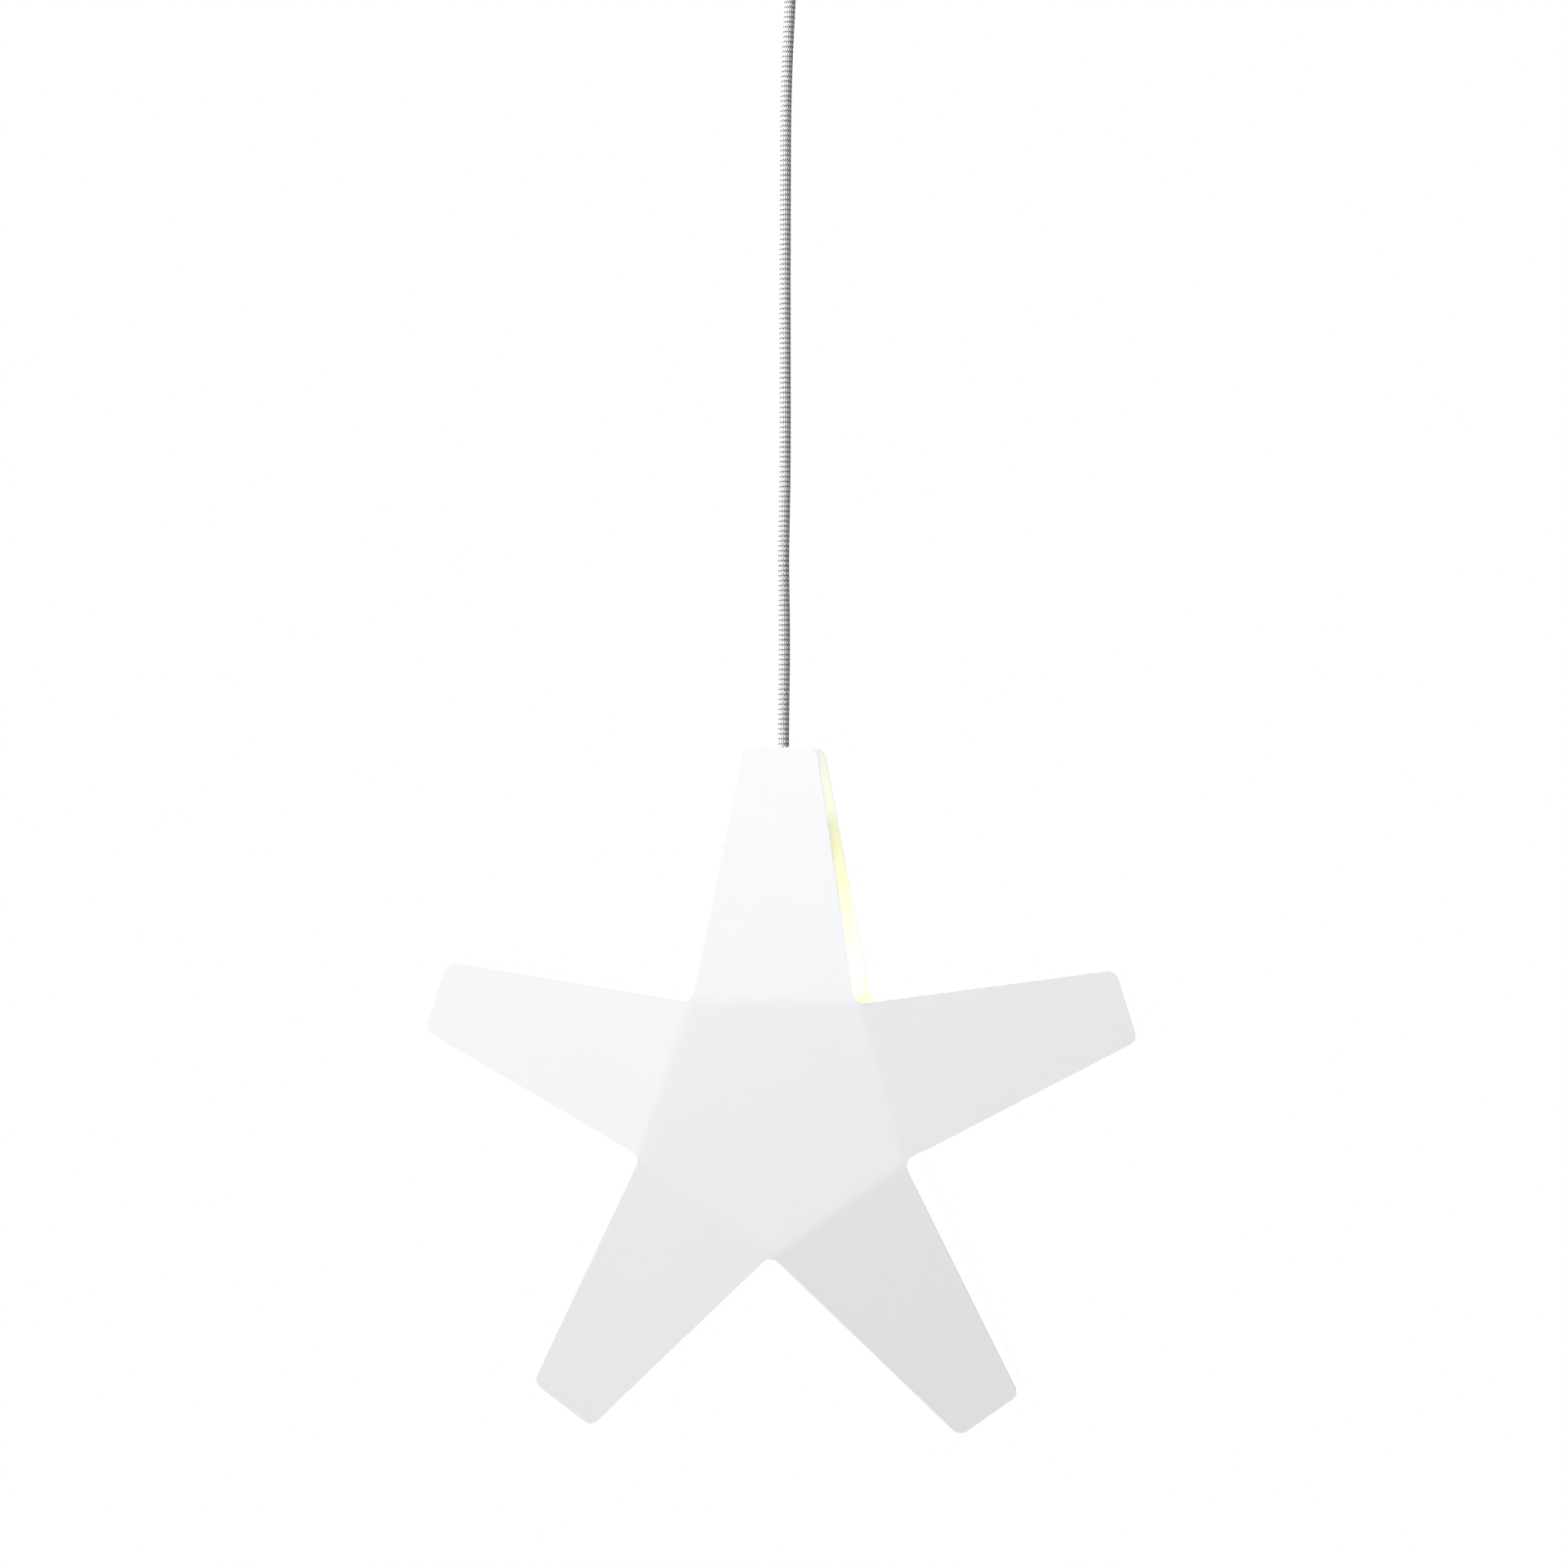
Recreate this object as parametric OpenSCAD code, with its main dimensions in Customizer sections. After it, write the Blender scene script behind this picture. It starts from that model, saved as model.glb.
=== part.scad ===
// Pendant advent star lamp: two folded star-shaped metal sheets with a small bulb between them,
// hung from a ceiling cup on a braided cord.
// The origin is at the ceiling, in the middle of the cup's rim. +Z is up and the star faces -Y.

/* [Star] */
// Side of the flat pentagon in the middle of the star
pentagon_side = 91; // [80:1:110]
// Length of an arm along the sheet, from its fold to its tip
arm_length = 144; // [110:1:175]
// Width of an arm's tip before its corners are rounded
tip_width = 41; // [30:1:50]
// Radius of the corners at an arm's tip
tip_radius = 6; // [2:0.5:10]
// Radius in the notch between two arms
notch_radius = 6; // [2:0.5:10]
// Angle by which each arm folds towards the other sheet
fold_angle = 8.5; // [4:0.5:11]
// Outer radius of the soft folds
fold_radius = 50; // [20:1:60]
// Thickness of the two sheets
sheet_t = 1; // [0.7:0.1:2]
// Clear space between the two sheets in the middle
sheet_gap = 75; // [62:1:95]

/* [Spacers and screws] */
// Distance from a corner of the pentagon in to its spacer
spacer_inset = 15; // [10:1:25]
// Outer diameter of the spacers
spacer_d = 9; // [8:0.5:12]
// Thread diameter of the studs and of the screws in the back
screw_d = 4; // [3:0.5:5]
// Length of a weld stud and of a screw under its head
screw_length = 9; // [6:1:14]
// Diameter of a screw's head
screw_head_d = 7.5; // [6:0.5:9.5]
// Height of a screw's head
screw_head_h = 2.3; // [1.5:0.1:3]
// Size of a nut across its flats
nut_across = 7; // [5.5:0.5:8]
// Height of a nut
nut_h = 3.2; // [2:0.1:4]

/* [Lamp bracket] */
// Width of the bracket
bracket_w = 32; // [26:1:44]
// Thickness of the bracket
bracket_t = 1.5; // [1:0.1:2.5]
// Height of the bracket's tabs above its web
tab_h = 22; // [18:1:30]
// Inner radius of the bracket's bends
bracket_bend = 2; // [1:0.5:4]
// Distance between the two fasteners of a tab
tab_pitch = 18; // [12:1:26]

/* [Lampholder and bulb] */
// Diameter of the bulb's globe
globe_d = 45; // [35:1:50]
// Length of the bulb from the bottom of its globe to its contact
bulb_length = 76; // [68:1:90]
// Outer diameter of the bulb's screw base
base_d = 13.9; // [13:0.1:14.5]
// Height of the bulb's screw base above its collar
base_h = 20; // [16:1:24]
// Outer diameter of the lampholder
holder_d = 28; // [26:0.5:34]
// Wall of the lampholder's cap and shell
holder_wall = 1.5; // [1:0.1:2.5]
// Height of the lampholder's cap
cap_h = 25; // [20:1:32]
// Thread diameter of the cord grips, which also holds the lampholder
stem_d = 10; // [9:0.5:12]

/* [Cord] */
// Diameter of the braided cord
cord_d = 6.4; // [5:0.1:7]
// Diameter of each insulated core inside the cord
core_d = 2.2; // [1.8:0.1:2.4]
// Outer diameter of a cord grip
grip_d = 15; // [13:0.5:20]
// Height of a cord grip above its stem
grip_h = 12; // [10:0.5:18]
// Diameter of the clamping screw in a cord grip
grip_screw_d = 4; // [3:0.5:5]

/* [Ceiling fitting] */
// Outer diameter of the ceiling cup
cup_d = 90; // [80:1:130]
// Height of the ceiling cup
cup_h = 45; // [40:1:60]
// Wall of the ceiling cup
cup_wall = 1; // [0.8:0.1:2]
// Outer radius of the cup's lower edge
cup_edge = 9; // [4:0.5:14]
// Width of the strap on the ceiling
strap_w = 16; // [12:1:24]
// Thickness of the strap
strap_t = 1.5; // [1:0.1:2.5]
// Depth of the strap's ears
ear_h = 16; // [13:0.5:22]
// Distance between the two slots for the ceiling screws
slot_pitch = 52; // [46:1:60]
// Width of a slot
slot_w = 4.5; // [3.5:0.1:6]
// Length of a slot from end to end
slot_length = 12; // [8:0.5:14]
// Distance between the poles of the terminal block
pole_pitch = 10; // [9:0.5:11]
// Width of the terminal block across its poles
block_w = 17; // [15:0.5:20]
// Height of the terminal block
block_h = 14; // [12:0.5:16]

/* [Hidden] */
$fn = 96;
ARMS = 5;
ARC_STEP = 7.5;
LEAST_FLATS = 6;
POLES = 3;

// Clearances
thread_gap = 0.05;
fit_gap = 0.15;
screw_gap = 0.2;
seat_gap = 0.3;

// The folded star, in its own frame: the centre of the star is the origin
sector = 360 / ARMS;
apothem = pentagon_side / 2 / tan(sector / 2);
corner_reach = pentagon_side / 2 / sin(sector / 2);
tip_reach = apothem + arm_length * cos(fold_angle);
face_y = sheet_gap / 2 + sheet_t;
star_size = tip_reach + tip_width;

// Studs, spacers and screws
spacer_reach = corner_reach - spacer_inset;
screw_r = screw_d / 2;
thread_r = screw_r - thread_gap;
pass_r = screw_r + screw_gap;
stud_flange_r = screw_r + 0.7;
stud_flange_h = 0.7;
thread_lead = 0.5;
stud_relief_r = stud_flange_r + screw_gap;
stud_relief_h = stud_flange_h + screw_gap;
recess_w = 0.9;
recess_depth = 1.2;

// The bulb: the middle of its globe is in the middle of the star
globe_r = globe_d / 2;
neck_z = globe_r * 0.45;
neck_r = sqrt(globe_r * globe_r - neck_z * neck_z);
base_r = base_d / 2;
base_edge = 0.8;
thread_pitch = 2.82;
thread_depth = 0.45;
contact_r = 2.4;
contact_h = 1;
glaze_h = 3;
contact_z = bulb_length - globe_r;
base_top_z = contact_z - contact_h - glaze_h;
collar_z = base_top_z - base_h;
collar_r = base_r + 1.6;

// The lampholder, upwards from its mouth, which is level with the bulb's collar
holder_r = holder_d / 2;
holder_bore_r = holder_r - holder_wall;
mouth_z = collar_z;
lip_h = 1.2;
lip_r = collar_r + 0.8;
groove_r = 0.6;
groove_pitch = 4;
GROOVES = 4;
contact_wall = 0.4;
contact_pin_r = 2;
contact_hole_r = contact_r + 1;
thread_in_r = base_r + fit_gap;
thread_out_r = thread_in_r + contact_wall;
insert_r = holder_bore_r - fit_gap;
insert_body_r = insert_r - holder_wall - fit_gap;
insert_skirt_r = thread_out_r + 2.2;
insert_low_z = mouth_z + 5;
insert_seat_z = contact_z + contact_h + contact_wall;
insert_floor = 2;
insert_flange_h = 3;
shell_top_z = insert_seat_z + 7;
insert_top_z = shell_top_z + insert_flange_h;
collar_h = 5;
cap_low_z = shell_top_z - collar_h;
cap_top_z = cap_low_z + cap_h;
boss_h = 8;
cap_dome = 5;
terminal_x = 5;
terminal_r = core_d / 2 + 0.4;

// The bracket's web lies on the cap, and the cord grip clamps both
web_z = cap_top_z;
web_top_z = web_z + bracket_t;
tab_top_z = web_top_z + tab_h;
tab_fix_s = (web_top_z + tab_h / 2 - apothem) / cos(fold_angle);
stem_r = stem_d / 2;
stem_h = bracket_t + boss_h;
stem_pass_r = stem_r + 0.25;
grip_r = grip_d / 2;
clamp_z = grip_h * 0.55;
clamp_slot = 0.8;
grip_edge = 2;

// The cord's route: it hangs down from the cup to the lampholder with a slight wave
cord_r = cord_d / 2;
cord_bore_r = cord_r + fit_gap;
cord_sides = 12;
core_sides = 8;
cord_points = [
    [0, 0, -628], [0, 0, -610], [0, 0, -590], [-0.1, 0, -570], [-0.2, 0, -550], [-0.3, 0, -530],
    [-0.4, 0, -510], [-0.5, 0, -490], [-0.5, 0, -470], [-0.4, 0, -450], [-0.5, 0, -430], [-0.9, 0, -410],
    [-1.3, 0, -390], [-1.2, 0, -370], [-1, 0, -350], [-1, 0, -330], [-1.1, 0, -310], [-1.3, 0, -290],
    [-1.5, 0, -270], [-1.7, 0, -250], [-1.9, 0, -230], [-2, 0, -210], [-2.1, 0, -190], [-2.2, 0, -170],
    [-2.3, 0, -150], [-2.2, 0, -130], [-1.8, 0, -110], [-1.1, 0, -90], [-0.3, 0, -70], [0, 0, -50],
    [0, 0, -34]
];
cord_low_z = cord_points[0][2];
cord_high_z = cord_points[len(cord_points) - 1][2];
sheath_end_z = cap_top_z - boss_h - 2;
star_z = cord_low_z - sheath_end_z;
core_x = core_d / 2 + thread_gap;

// The ceiling fitting
cup_r = cup_d / 2;
cup_in_r = cup_r - cup_wall;
cup_screw_z = -ear_h * 0.6;
cup_screw_length = 6;
ear_x = sqrt(cup_in_r * cup_in_r - strap_w * strap_w / 4) - seat_gap;
ear_corner = 3;
strap_bend = 2;
grip_nut_across = stem_d + 4;
grip_nut_h = 4;

// The terminal block lies under the strap, and one screw holds it between two poles
block_l = POLES * pole_pitch;
block_low_z = -strap_t - block_h;
tube_z = -strap_t - block_h * 0.4;
tube_r = 2.4;
tube_bore_r = 1.6;
tube_l = block_w - 3;
pole_screw_y = block_w / 4;
pole_screw_r = 1.5;
block_screw_r = 1.5;
block_screw_x = pole_pitch / 2;
block_head_r = 2.1;
block_head_h = 1.8;
head_sink = 1;
slit_w = 0.6;
slit_depth = 0.6;

function turned(p, a) = [p[0] * cos(a) - p[1] * sin(a), p[0] * sin(a) + p[1] * cos(a)];
function unit(v) = v / norm(v);

// The points of an arc, in short flats, that rounds the corner b between the lines to a and to c
function rounded(a, b, c, radius) =
    let (
        to_a = unit(a - b),
        to_c = unit(c - b),
        half = acos(to_a * to_c) / 2,
        centre = b + unit(to_a + to_c) * radius / sin(half),
        start = b + to_a * radius / tan(half) - centre,
        end = b + to_c * radius / tan(half) - centre,
        sweep = 180 - 2 * half,
        flats = max(LEAST_FLATS, ceil(sweep / ARC_STEP))
    )
    [
        for (i = [0:flats]) let (part = i / flats)
        centre + (start * sin(sweep * (1 - part)) + end * sin(sweep * part)) / sin(sweep)
    ];

// A closed outline from corners given as [x, y, radius], where a radius of 0 leaves the corner sharp
function round_path(corners) =
    let (n = len(corners), flat = [for (p = corners) [p[0], p[1]]])
    [
        for (i = [0:n - 1])
        each corners[i][2] > 0
            ? rounded(flat[(i + n - 1) % n], flat[i], flat[(i + 1) % n], corners[i][2])
            : [flat[i]]
    ];

// Half the clear width between the sheets' inner faces at a height on the top arm
function inner_y(z) = face_y - (z - apothem) * tan(fold_angle) - sheet_t / cos(fold_angle);

// One ring of a swept tube, square to the route at point i
function tube_ring(points, i, r, sides) =
    let (
        low = points[max(i - 1, 0)],
        high = points[min(i + 1, len(points) - 1)],
        along = unit(high - low),
        across = unit(cross(along, [1, 0, 0])),
        over = cross(across, along)
    )
    [for (s = [0:sides - 1]) points[i] + r * (across * cos(360 * s / sides) + over * sin(360 * s / sides))];

module swept_tube(points, r, sides) {
    last = len(points) - 1;
    rings = [for (i = [0:last]) each tube_ring(points, i, r, sides)];
    walls = [
        for (i = [0:last - 1]) for (s = [0:sides - 1])
        [i * sides + s, i * sides + (s + 1) % sides, (i + 1) * sides + (s + 1) % sides, (i + 1) * sides + s]
    ];
    low_cap = [for (s = [sides - 1:-1:0]) s];
    high_cap = [for (s = [0:sides - 1]) last * sides + s];
    polyhedron(rings, concat(walls, [low_cap, high_cap]));
}

// Half a section from the axis out, x wide and h high, whose upper corner is round
module round_half(x, h, radius) {
    square([x, h - radius]);
    square([x - radius, h]);
    translate([x - radius, h - radius]) circle(radius);
}

// Extrudes a front view along Y, and a side view, drawn as (y, z), along X
module through_y(depth) rotate([90, 0, 0]) linear_extrude(depth, center = true) children();
module through_x(width) rotate([90, 0, 90]) linear_extrude(width, center = true) children();

// Puts a shape on both sides of the middle plane x = 0
module both_sides(x) for (side = [-1, 1]) translate([side * x, 0, 0]) children();

module at_star() translate([0, 0, star_z]) children();

// The frame on the outside of the top arm: +Z runs along the arm and +Y goes in through the sheet
module on_front_arm() translate([0, -face_y, apothem]) rotate([-fold_angle, 0, 0]) children();
module on_back_arm() mirror([0, 1, 0]) on_front_arm() children();

// The two fasteners of one bracket tab, at a depth below the arm's outer face and pointing inwards
module at_tab(depth) {
    translate([0, depth, tab_fix_s]) both_sides(tab_pitch / 2) rotate([-90, 0, 0]) children();
}

// The spacers' places, one in each corner of the pentagon
module at_spacers() {
    for (k = [0:ARMS - 1]) rotate([0, sector * (k + 0.5), 0]) translate([0, 0, spacer_reach]) children();
}

// The star laid flat: straight arms, round notches and round corners at the tips
module star_outline() {
    arm = [
        [-tip_width / 2, tip_reach, tip_radius],
        [tip_width / 2, tip_reach, tip_radius],
        [pentagon_side / 2, apothem, notch_radius]
    ];
    polygon(round_path([for (k = [0:ARMS - 1]) for (p = arm) concat(turned(p, -sector * k), p[2])]));
}

// Side view of what lies behind one fold, drawn as (depth behind the outer face, distance from the centre)
module behind_fold(inset) {
    corner = [inset, apothem - inset * tan(fold_angle / 2)];
    arm_end = corner + star_size * [sin(fold_angle), cos(fold_angle)];
    polygon(round_path([
        [inset, -star_size, 0],
        concat(corner, fold_radius - inset),
        concat(arm_end, 0),
        [face_y + star_size, star_size, 0],
        [face_y + inset, -star_size, 0]
    ]));
}

module behind_folds(inset) {
    intersection_for (k = [0:ARMS - 1]) rotate([0, sector * k, 0]) translate([0, -face_y, 0])
        through_x(3 * star_size) behind_fold(inset);
}

// A flat star with its arms folded along the sides of the pentagon, away from the viewer
module folded_star() {
    intersection() {
        difference() {
            behind_folds(0);
            behind_folds(sheet_t);
        }
        through_y(2 * face_y + 2) star_outline();
    }
}

module front_sheet() {
    color("whitesmoke") at_star() folded_star();
}

module back_sheet() {
    color("whitesmoke") at_star() difference() {
        mirror([0, 1, 0]) folded_star();
        at_spacers() translate([0, face_y, 0]) rotate([90, 0, 0])
            cylinder(h = 4 * sheet_t, r = pass_r, center = true);
        on_back_arm() at_tab(0) cylinder(h = 4 * sheet_t, r = pass_r, center = true);
    }
}

// A stud stands on the origin and points along +Z
module weld_stud() {
    cylinder(h = stud_flange_h, r = stud_flange_r);
    cylinder(h = screw_length - thread_lead, r = thread_r);
    translate([0, 0, screw_length - thread_lead])
        cylinder(h = thread_lead, r1 = thread_r, r2 = thread_r - thread_lead);
}

module sheet_studs() {
    color("silver") at_star() {
        at_spacers() translate([0, sheet_t - face_y, 0]) rotate([-90, 0, 0]) weld_stud();
        on_front_arm() at_tab(sheet_t) weld_stud();
    }
}

module spacers() {
    color("silver") at_star() at_spacers() rotate([90, 0, 0]) difference() {
        cylinder(h = sheet_gap, r = spacer_d / 2, center = true);
        cylinder(h = sheet_gap + 1, r = screw_r, center = true);
        translate([0, 0, sheet_gap / 2 - stud_relief_h]) cylinder(h = stud_relief_h + 1, r = stud_relief_r);
    }
}

// A pan head screw: the head's seat is at the origin, the head above it and the shank below
module pan_screw(length, r, head_r, head_h) {
    crown_r = (head_r * head_r + head_h * head_h) / head_h;
    difference() {
        union() {
            intersection() {
                cylinder(h = head_h, r = head_r);
                translate([0, 0, head_h - crown_r]) sphere(crown_r);
            }
            translate([0, 0, -length]) cylinder(h = length, r = r);
        }
        translate([0, 0, head_h]) for (turn = [0, 90]) rotate(turn)
            cube([head_r * 1.1, recess_w, 2 * recess_depth], center = true);
    }
}

module sheet_screw() pan_screw(screw_length, thread_r, screw_head_d / 2, screw_head_h);

module back_screws() {
    color("white") at_star() {
        at_spacers() translate([0, face_y, 0]) rotate([-90, 0, 0]) sheet_screw();
        on_back_arm() at_tab(0) mirror([0, 0, 1]) sheet_screw();
    }
}

// Side view of a U whose sides lean in with the top arm, from its floor at low up to high
module leaning_u(low, high, wall, radius) {
    floor_y = inner_y(low) - wall;
    top_y = inner_y(high) - wall;
    polygon(round_path([
        [-top_y, high, 0],
        [-floor_y, low, radius],
        [floor_y, low, radius],
        [top_y, high, 0]
    ]));
}

module lamp_bracket() {
    side_wall = bracket_t / cos(fold_angle);
    corner = tab_h / 4;
    color("gainsboro") at_star() difference() {
        intersection() {
            through_x(bracket_w) difference() {
                leaning_u(web_z, tab_top_z, 0, bracket_bend + bracket_t);
                leaning_u(web_top_z, tab_top_z + bracket_t, side_wall, bracket_bend);
            }
            through_y(sheet_gap) polygon(round_path([
                [-bracket_w / 2, web_z - 1, 0],
                [-bracket_w / 2, tab_top_z, corner],
                [bracket_w / 2, tab_top_z, corner],
                [bracket_w / 2, web_z - 1, 0]
            ]));
        }
        translate([0, 0, web_z]) cylinder(h = 4 * bracket_t, r = stem_pass_r, center = true);
        on_front_arm() at_tab(sheet_t) cylinder(h = 4 * bracket_t, r = stud_relief_r, center = true);
        on_back_arm() at_tab(sheet_t) cylinder(h = 4 * bracket_t, r = screw_r, center = true);
    }
}

module nut(across, height, bore_r) {
    difference() {
        cylinder(h = height, r = across / 2 / cos(30), $fn = 6);
        translate([0, 0, -1]) cylinder(h = height + 2, r = bore_r);
    }
}

module bracket_nuts() {
    color("silver") at_star() on_front_arm() at_tab(sheet_t + bracket_t) nut(nut_across, nut_h, screw_r);
}

// A cord grip stands on its flange at the origin, with its threaded stem below
module cord_grip() {
    difference() {
        union() {
            rotate_extrude() round_half(grip_r, grip_h, grip_edge);
            translate([0, 0, -stem_h]) cylinder(h = stem_h, r = stem_r - thread_gap);
        }
        translate([0, 0, -stem_h - 1]) cylinder(h = stem_h + grip_h + 2, r = cord_bore_r);
        translate([0, 0, clamp_z]) rotate([0, 90, 0]) cylinder(h = grip_r + 1, r = grip_screw_d / 2);
    }
}

module clamp_screw() {
    inner = cord_bore_r;
    translate([0, 0, clamp_z]) rotate([0, 90, 0]) difference() {
        translate([0, 0, inner]) cylinder(h = grip_r - inner, r = grip_screw_d / 2 - thread_gap);
        translate([0, 0, grip_r]) cube([grip_screw_d, clamp_slot, 2 * clamp_slot], center = true);
    }
}

module lamp_cord_grip() {
    color("white") at_star() translate([0, 0, web_top_z]) cord_grip();
}

module lamp_grip_screw() {
    color("white") at_star() translate([0, 0, web_top_z]) clamp_screw();
}

module holder_cap() {
    color("white") at_star() translate([0, 0, cap_low_z]) rotate_extrude() difference() {
        round_half(holder_r, cap_h, cap_dome);
        translate([0, -1]) square([holder_bore_r, cap_h - boss_h + 1]);
        square([stem_r, cap_h + 1]);
    }
}

// The shell screws into the cap with its collar and holds the insert in it
module holder_shell() {
    color("white") at_star() rotate_extrude() difference() {
        union() {
            translate([0, mouth_z]) square([holder_r, cap_low_z - mouth_z]);
            translate([0, mouth_z]) square([insert_r, shell_top_z - mouth_z]);
        }
        translate([0, mouth_z - 1]) square([lip_r, 2 * lip_h + 1]);
        translate([0, mouth_z + lip_h]) square([insert_r - holder_wall, shell_top_z - mouth_z]);
        for (row = [1:GROOVES]) translate([holder_r, mouth_z + groove_pitch * row]) circle(groove_r);
    }
}

// The insert: a flange on the shell's collar, a body in it and a skirt round the thread
module holder_insert() {
    color("ivory") at_star() difference() {
        rotate_extrude() difference() {
            union() {
                translate([0, shell_top_z]) square([insert_r, insert_flange_h]);
                translate([0, insert_seat_z]) square([insert_body_r, shell_top_z - insert_seat_z]);
                translate([0, insert_low_z]) square([insert_skirt_r, insert_seat_z - insert_low_z]);
            }
            translate([0, insert_low_z - 1])
                square([thread_out_r + thread_gap, insert_seat_z - insert_low_z + 1]);
        }
        translate([0, 0, insert_seat_z + insert_floor]) both_sides(terminal_x)
            cylinder(h = insert_top_z, r = terminal_r);
    }
}

module holder_thread() {
    color("gold") at_star() rotate_extrude() {
        translate([thread_in_r, insert_low_z]) square([contact_wall, insert_seat_z - insert_low_z]);
        translate([contact_hole_r, insert_seat_z - contact_wall])
            square([thread_out_r - contact_hole_r, contact_wall]);
    }
}

module holder_contact() {
    color("gold") at_star() translate([0, 0, contact_z + thread_gap])
        cylinder(h = insert_seat_z - contact_z - thread_gap, r = contact_pin_r);
}

module holder_cores() {
    lead = 1.5;
    core_in = 4;
    route = [
        [terminal_x, 0, insert_top_z - core_in],
        [terminal_x, 0, insert_top_z + lead],
        [(core_x + terminal_x) / 2, 0, (sheath_end_z + insert_top_z) / 2],
        [core_x, 0, sheath_end_z - lead],
        [core_x, 0, sheath_end_z]
    ];
    for (side = [0, 1]) mirror([side, 0, 0])
        color(side == 0 ? "saddlebrown" : "royalblue") at_star() swept_tube(route, core_d / 2, core_sides);
}

module bulb() {
    turns = floor(base_h / thread_pitch) - 1;
    color("ivory") at_star() rotate_extrude() {
        intersection() {
            circle(globe_r);
            translate([0, -globe_r - 1]) square([globe_r + 1, 2 * globe_r + 2]);
        }
        difference() {
            polygon([
                [0, 0],
                [neck_r, neck_z],
                [collar_r, collar_z],
                [base_r, collar_z],
                [base_r, base_top_z],
                [base_r - base_edge, base_top_z],
                [contact_r + base_edge, contact_z - contact_h],
                [contact_r, contact_z - contact_h],
                [contact_r, contact_z],
                [0, contact_z]
            ]);
            for (turn = [1:turns]) translate([base_r, collar_z + thread_pitch * turn]) circle(thread_depth);
        }
    }
}

module cord() {
    color("gray") swept_tube(cord_points, cord_r, cord_sides);
}

module ceiling_cup() {
    color("white") difference() {
        mirror([0, 0, 1]) rotate_extrude() difference() {
            round_half(cup_r, cup_h, cup_edge);
            translate([0, -1]) round_half(cup_in_r, cup_h - cup_wall + 1, cup_edge - cup_wall);
        }
        translate([0, 0, -cup_h]) cylinder(h = 4 * cup_wall, r = stem_pass_r, center = true);
        for (side = [0, 180]) rotate(side) translate([cup_r, 0, cup_screw_z])
            rotate([0, 90, 0]) cylinder(h = 4 * cup_wall, r = pass_r, center = true);
    }
}

module under_cup() translate([0, 0, -cup_h]) rotate([180, 0, 0]) children();

module cup_cord_grip() {
    color("white") under_cup() cord_grip();
}

module cup_grip_nut() {
    color("silver") translate([0, 0, cup_wall - cup_h]) nut(grip_nut_across, grip_nut_h, stem_r);
}

module cup_grip_screw() {
    color("white") under_cup() clamp_screw();
}

module cup_screws() {
    color("white") for (side = [0, 180]) rotate(side) translate([cup_r, 0, cup_screw_z])
        rotate([0, 90, 0]) pan_screw(cup_screw_length, thread_r, screw_head_d / 2, screw_head_h);
}

module strap_slot() {
    straight = slot_length - slot_w;
    cube([straight, slot_w, 4 * strap_t], center = true);
    both_sides(straight / 2) cylinder(h = 4 * strap_t, r = slot_w / 2, center = true);
}

// Front view of what lies under the strap's top and between its ears
module strap_profile(x, top, radius) {
    polygon(round_path([[-x, -ear_h - 1, 0], [-x, top, radius], [x, top, radius], [x, -ear_h - 1, 0]]));
}

module ceiling_strap() {
    color("silver") difference() {
        intersection() {
            through_y(strap_w) difference() {
                strap_profile(ear_x, 0, strap_bend + strap_t);
                strap_profile(ear_x - strap_t, -strap_t, strap_bend);
            }
            through_x(2 * ear_x + 1) polygon(round_path([
                [-strap_w / 2, 1, 0],
                [-strap_w / 2, -ear_h, ear_corner],
                [strap_w / 2, -ear_h, ear_corner],
                [strap_w / 2, 1, 0]
            ]));
        }
        both_sides(slot_pitch / 2) strap_slot();
        translate([0, 0, cup_screw_z]) rotate([0, 90, 0]) cylinder(h = 2 * cup_r, r = screw_r, center = true);
        translate([block_screw_x, 0, 0]) cylinder(h = 4 * strap_t, r = block_screw_r, center = true);
    }
}

module at_poles() {
    for (pole = [0:POLES - 1]) translate([(pole - (POLES - 1) / 2) * pole_pitch, 0, 0]) children();
}

// The two screws of each pole, from the block's lower face upwards
module at_pole_screws() {
    at_poles() for (side = [-1, 1]) translate([0, side * pole_screw_y, block_low_z]) children();
}

module terminal_block() {
    color("white") difference() {
        translate([-block_l / 2, -block_w / 2, block_low_z]) cube([block_l, block_w, block_h]);
        at_poles() translate([0, 0, tube_z]) rotate([90, 0, 0]) {
            cylinder(h = tube_l, r = tube_r, center = true);
            cylinder(h = block_w + 1, r = tube_bore_r, center = true);
        }
        at_pole_screws() translate([0, 0, -1])
            cylinder(h = tube_z - block_low_z + 1, r = pole_screw_r + fit_gap);
        both_sides(block_screw_x) translate([0, 0, block_low_z - 1]) {
            cylinder(h = block_h + 2, r = block_screw_r + fit_gap);
            cylinder(h = 1 + head_sink + block_head_h, r = block_head_r + fit_gap);
        }
    }
}

module terminal_tubes() {
    color("gold") difference() {
        at_poles() translate([0, 0, tube_z]) rotate([90, 0, 0]) difference() {
            cylinder(h = tube_l, r = tube_r - thread_gap, center = true);
            cylinder(h = block_w, r = tube_bore_r, center = true);
        }
        at_pole_screws() cylinder(h = tube_z - block_low_z, r = pole_screw_r);
    }
}

// A slotted screw with its head downwards at the origin
module slotted_screw(head_h, head_r, length, r) {
    difference() {
        union() {
            cylinder(h = head_h, r = head_r);
            cylinder(h = length, r = r);
        }
        cube([2 * head_r + 1, slit_w, 2 * slit_depth], center = true);
    }
}

// Each pole screw ends on the core that it clamps
module terminal_screws() {
    length = tube_z - core_d / 2 - thread_gap - block_low_z - head_sink;
    radius = pole_screw_r - thread_gap;
    color("silver") at_pole_screws() translate([0, 0, head_sink])
        slotted_screw(length, radius, length, radius);
}

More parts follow.
